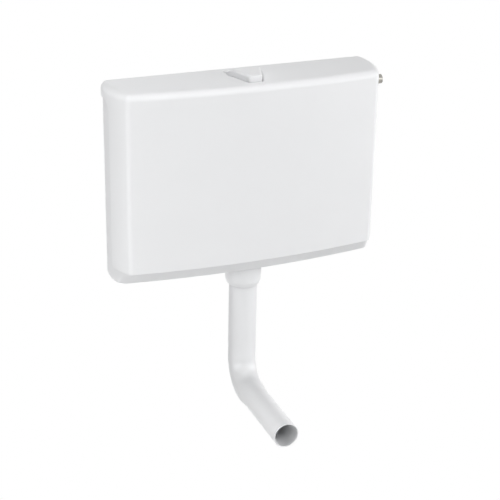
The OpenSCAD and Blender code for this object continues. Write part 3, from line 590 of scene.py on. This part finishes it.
def buildKey():
    gap, wall, top = keyPlan["gap"], key["wall"], key["top"]
    heelLow = top - key["heel"]
    piece = makePiece("flushKeyCap", keyBody(gap, 0, heelLow, key["edge"]), hoodWhite)
    carve(piece, keyBody(gap + wall, wall, heelLow - past))
    # the wall is shallower in front of the hinge
    holes = bmesh.new()
    reach = keyPlan["width"]
    addBlock(holes, (-reach, keyFront - past, heelLow - past),
             (reach, keyRear - key["heelLength"], top - key["skirt"]))
    carve(piece, holes)
    holes = bmesh.new()
    addRod(holes, key["pinRadius"], 2*reach, (0, key["hingeY"], key["hingeZ"]), "X", sides["pin"])
    carve(piece, holes)
    boss = bmesh.new()
    under = keyTop(key["stemY"]) - wall
    low, high = under - key["bossHeight"], under + key["bossInto"]
    hole, outside = key["stemRadius"], key["bossRadius"]
    addTurned(boss, [(hole, low), (outside, low), (outside, high), (hole, high)],
              (0, key["stemY"], 0), sides["boss"])
    carve(piece, boss, "UNION")
    finishPiece(piece, "key", ["flush_key"])


buildKey()

# key spring: a wire wound from the frame's bar, which stays with the hood, up to the key

spring = {"y": -61, "low": 33.9, "high": 52.58, "coilRadius": 4.5, "wireRadius": 0.6, "curls": 6,
          "turnSteps": 32, "wireSides": 12}


def buildSpring():
    bm = bmesh.new()
    wire = bmesh.ops.create_circle(bm, cap_ends=False, segments=spring["wireSides"],
                                   radius=spring["wireRadius"])["verts"]
    bmesh.ops.rotate(bm, matrix=Matrix.Rotation(math.pi/2, 3, "X"), verts=wire)
    bmesh.ops.translate(bm, vec=(spring["coilRadius"], spring["y"], spring["low"]), verts=wire)
    count = spring["curls"]*spring["turnSteps"]
    climb = (spring["high"] - spring["low"])/count
    bmesh.ops.spin(bm, geom=bm.edges[:], cent=(0, spring["y"], 0), axis=(0, 0, 1), dvec=(0, 0, climb),
                   angle=2*math.pi*spring["curls"], steps=count)
    bmesh.ops.holes_fill(bm, edges=bm.edges, sides=0)
    piece = makePiece("keySpringCoil", bm, drawnSteel)
    finishPiece(piece, None, ["key_spring"])
    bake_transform(piece)


buildSpring()

# coupling nut, turned with softened edges

nut = {"high": -294.5, "low": -334, "radius": 32.5, "taper": 1, "cone": 8, "neck": 25.8, "lip": 2.5,
       "lipHeight": 2, "bore": 27.4, "coneTop": -326, "skirt": 30.3, "step": -301, "soft": 0.9, "softened": 5,
       "softSteps": 4, "segments": 128, "smooth": 40}


def buildNut():
    bm = bmesh.new()
    waist = nut["radius"] - nut["taper"]
    profile = [(nut["skirt"], nut["high"]), (nut["radius"], nut["high"]), (waist, nut["low"] + nut["cone"]),
               (nut["neck"] + nut["lip"], nut["low"]), (nut["neck"], nut["low"]),
               (nut["neck"], nut["low"] + nut["lipHeight"]), (nut["bore"], nut["coneTop"]),
               (nut["bore"], nut["step"]), (nut["skirt"], nut["step"])]
    ring = [bm.verts.new((r, 0, z)) for r, z in profile]
    bm.faces.new(ring)
    bmesh.ops.bevel(bm, geom=ring[:nut["softened"]], offset=nut["soft"], offset_type="OFFSET",
                    segments=nut["softSteps"], profile=0.5, affect="VERTICES", material=-1)
    edges = [e for f in bm.faces for e in f.edges]
    bmesh.ops.spin(bm, geom=edges, cent=(0, 0, 0), axis=(0, 0, 1), dvec=(0, 0, 0), angle=2*math.pi,
                   steps=nut["segments"], use_merge=True)
    bmesh.ops.delete(bm, geom=[f for f in bm.faces if len(f.verts) > 4], context="FACES_ONLY")
    bmesh.ops.translate(bm, vec=(0, tank["outletY"], 0), verts=bm.verts)
    piece = makePiece("couplingNut", bm, pipeWhite)
    finishPiece(piece, "nut", ["coupling_nut"], nut["smooth"])


buildNut()

# flush bend: an outer and an inner skin, each swept down, round and forward, joined at both ends

bend = {"top": -313, "axisZ": -533, "bendRadius": 50, "coneLength": 25, "reach": 208, "radius": 25,
        "endRadius": 22.5, "wall": 2, "lip": 0.5, "segments": 96, "bendSteps": 28, "smooth": 50}


def buildBend():
    bm = bmesh.new()
    y0 = tank["outletY"]
    start = bend["axisZ"] + bend["bendRadius"]

    def addRing(radius):
        ring = bmesh.ops.create_circle(bm, cap_ends=False, segments=bend["segments"], radius=radius)["verts"]
        return ring, list({e for v in ring for e in v.link_edges})

    def skin(inset):
        ring, mouth = addRing(bend["radius"] - inset)
        bmesh.ops.translate(bm, vec=(0, y0, bend["top"]), verts=ring)

        def push(edges, vec, shrink=None):
            grown = bmesh.ops.extrude_edge_only(bm, edges=edges)["geom"]
            verts = [g for g in grown if isinstance(g, bmesh.types.BMVert)]
            bmesh.ops.translate(bm, vec=vec, verts=verts)
            if shrink:
                place = Matrix.Translation((0, -verts[0].co.y, -bend["axisZ"]))
                bmesh.ops.scale(bm, vec=(shrink, 1, shrink), space=place, verts=verts)
            return [g for g in grown if isinstance(g, bmesh.types.BMEdge)]

        edges = push(mouth, (0, 0, start - bend["top"]))
        turned = bmesh.ops.spin(bm, geom=edges, cent=(0, y0 - bend["bendRadius"], start), axis=(1, 0, 0),
                                dvec=(0, 0, 0), angle=-math.pi/2, steps=bend["bendSteps"])["geom_last"]
        edges = [g for g in turned if isinstance(g, bmesh.types.BMEdge)]
        ratio = (bend["endRadius"] - inset)/(bend["radius"] - inset)
        edges = push(edges, (0, -bend["coneLength"], 0), ratio)
        leg = bend["reach"] - bend["bendRadius"] - bend["coneLength"]
        edges = push(edges, (0, bend["lip"] - leg, 0))
        return mouth, edges

    outerTop, outerEnd = skin(0)
    innerTop, innerEnd = skin(bend["wall"])
    middleEnd = []
    for inset in (bend["lip"], bend["wall"] - bend["lip"]):
        ring, edges = addRing(bend["endRadius"] - inset)
        bmesh.ops.rotate(bm, matrix=Matrix.Rotation(math.pi/2, 3, "X"), verts=ring)
        bmesh.ops.translate(bm, vec=(0, y0 - bend["reach"], bend["axisZ"]), verts=ring)
        middleEnd.append(edges)
    loft(bm, [outerEnd, middleEnd[0], middleEnd[1], innerEnd])
    loft(bm, [outerTop, innerTop])
    piece = makePiece("flushPipe", bm, pipeWhite)
    finishPiece(piece, "tank", ["flush_bend"], bend["smooth"])


buildBend()

# carried-over solids take the finish of their own material slot

finishes = {"hood_white": hoodWhite, "tank_white": tankWhite, "pipe_white": pipeWhite,
            "inner_white": innerWhite, "inner_grey": innerGrey, "inner_blue": innerBlue,
            "seal_black": sealBlack, "brass": turnedBrass, "steel": drawnSteel, "foam": floatFoam}
for part in frame["record"]["subparts"]:
    solid = nodes[part["node"]]
    solid.data.materials.clear()
    solid.data.materials.append(finishes[part["material_slot"]])
print("solids dressed")

# studio: a floor and sky that show white, and soft lamps, with one low behind for the back

studio = {"floorZ": -0.95, "floorSize": 12, "floorShade": 0.35, "floorRough": 0.8, "sky": 0.0,
          "aim": (0, -0.05, -0.15),
          # name, place and size in m, power in W
          "lamps": (("rightLamp", (2.5, -2.3, 0.5), 2.0, 48),
                    ("rightLowLamp", (3.0, -0.5, -0.3), 1.4, 28),
                    ("frontTopLamp", (0.3, -2.4, 2.2), 1.8, 40),
                    ("topLamp", (-1.2, -0.4, 2.6), 1.6, 11),
                    ("topLeftLamp", (-0.9, -0.1, 1.6), 0.8, 14.5),
                    ("lowLamp", (-1.6, -2.2, -0.7), 1.4, 20),
                    ("lowFrontLamp", (-1.6, -1.25, -0.88), 0.6, 9),
                    ("lowRearLamp", (-1.8, -0.4, -0.85), 0.8, 13.5),
                    ("rearLamp", (0.4, 2.4, -0.5), 0.8, 24))}


# one shader for what is seen, also in reflections and through clear things, and one for all other light
def splitForCamera(tree, unseen, seen, surface):
    path = tree.nodes.new("ShaderNodeLightPath")
    rays = path.outputs["Is Camera Ray"]
    for kind in ("Is Glossy Ray", "Is Transmission Ray"):
        either = tree.nodes.new("ShaderNodeMath")
        either.operation = "MAXIMUM"
        tree.links.new(rays, either.inputs[0])
        tree.links.new(path.outputs[kind], either.inputs[1])
        rays = either.outputs[0]
    mix = tree.nodes.new("ShaderNodeMixShader")
    tree.links.new(rays, mix.inputs["Fac"])
    tree.links.new(unseen.outputs[0], mix.inputs[1])
    tree.links.new(seen.outputs[0], mix.inputs[2])
    tree.links.new(mix.outputs[0], surface)


def buildSky():
    world = bpy.data.worlds.new("studioSky")
    scene.world = world
    world.use_nodes = True
    tree = world.node_tree
    tree.nodes.clear()
    skies = []
    for strength in (studio["sky"], 1):
        sky = tree.nodes.new("ShaderNodeBackground")
        sky.inputs["Strength"].default_value = strength
        sky.inputs["Color"].default_value = (1, 1, 1, 1)
        skies.append(sky)
    out = tree.nodes.new("ShaderNodeOutputWorld")
    splitForCamera(tree, *skies, out.inputs["Surface"])


def buildFloor():
    bm = bmesh.new()
    bmesh.ops.create_grid(bm, x_segments=2, y_segments=2, size=studio["floorSize"]/2)
    bmesh.ops.translate(bm, vec=(0, 0, studio["floorZ"]), verts=bm.verts)
    mesh = bpy.data.meshes.new("studioFloor")
    bm.to_mesh(mesh)
    bm.free()
    floor = bpy.data.objects.new("studioFloor", mesh)
    scene.collection.objects.link(floor)
    paint, tree, shader = startFinish("floorPaint")[:3]
    shader.inputs["Base Color"].default_value = (*[studio["floorShade"]]*3, 1)
    shader.inputs["Roughness"].default_value = studio["floorRough"]
    glow = tree.nodes.new("ShaderNodeEmission")
    glow.inputs["Strength"].default_value = 1
    splitForCamera(tree, shader, glow, tree.nodes["Material Output"].inputs["Surface"])
    mesh.materials.append(paint)


def hangLamps():
    aim = Vector(studio["aim"])
    for name, place, size, power in studio["lamps"]:
        data = bpy.data.lights.new(name, "AREA")
        data.shape = "DISK"
        data.size = size
        data.energy = power
        lamp = bpy.data.objects.new(name, data)
        lamp.location = place
        lamp.rotation_euler = (aim - Vector(place)).to_track_quat("-Z", "Y").to_euler()
        scene.collection.objects.link(lamp)


buildSky()
buildFloor()
hangLamps()
print("studio lit")
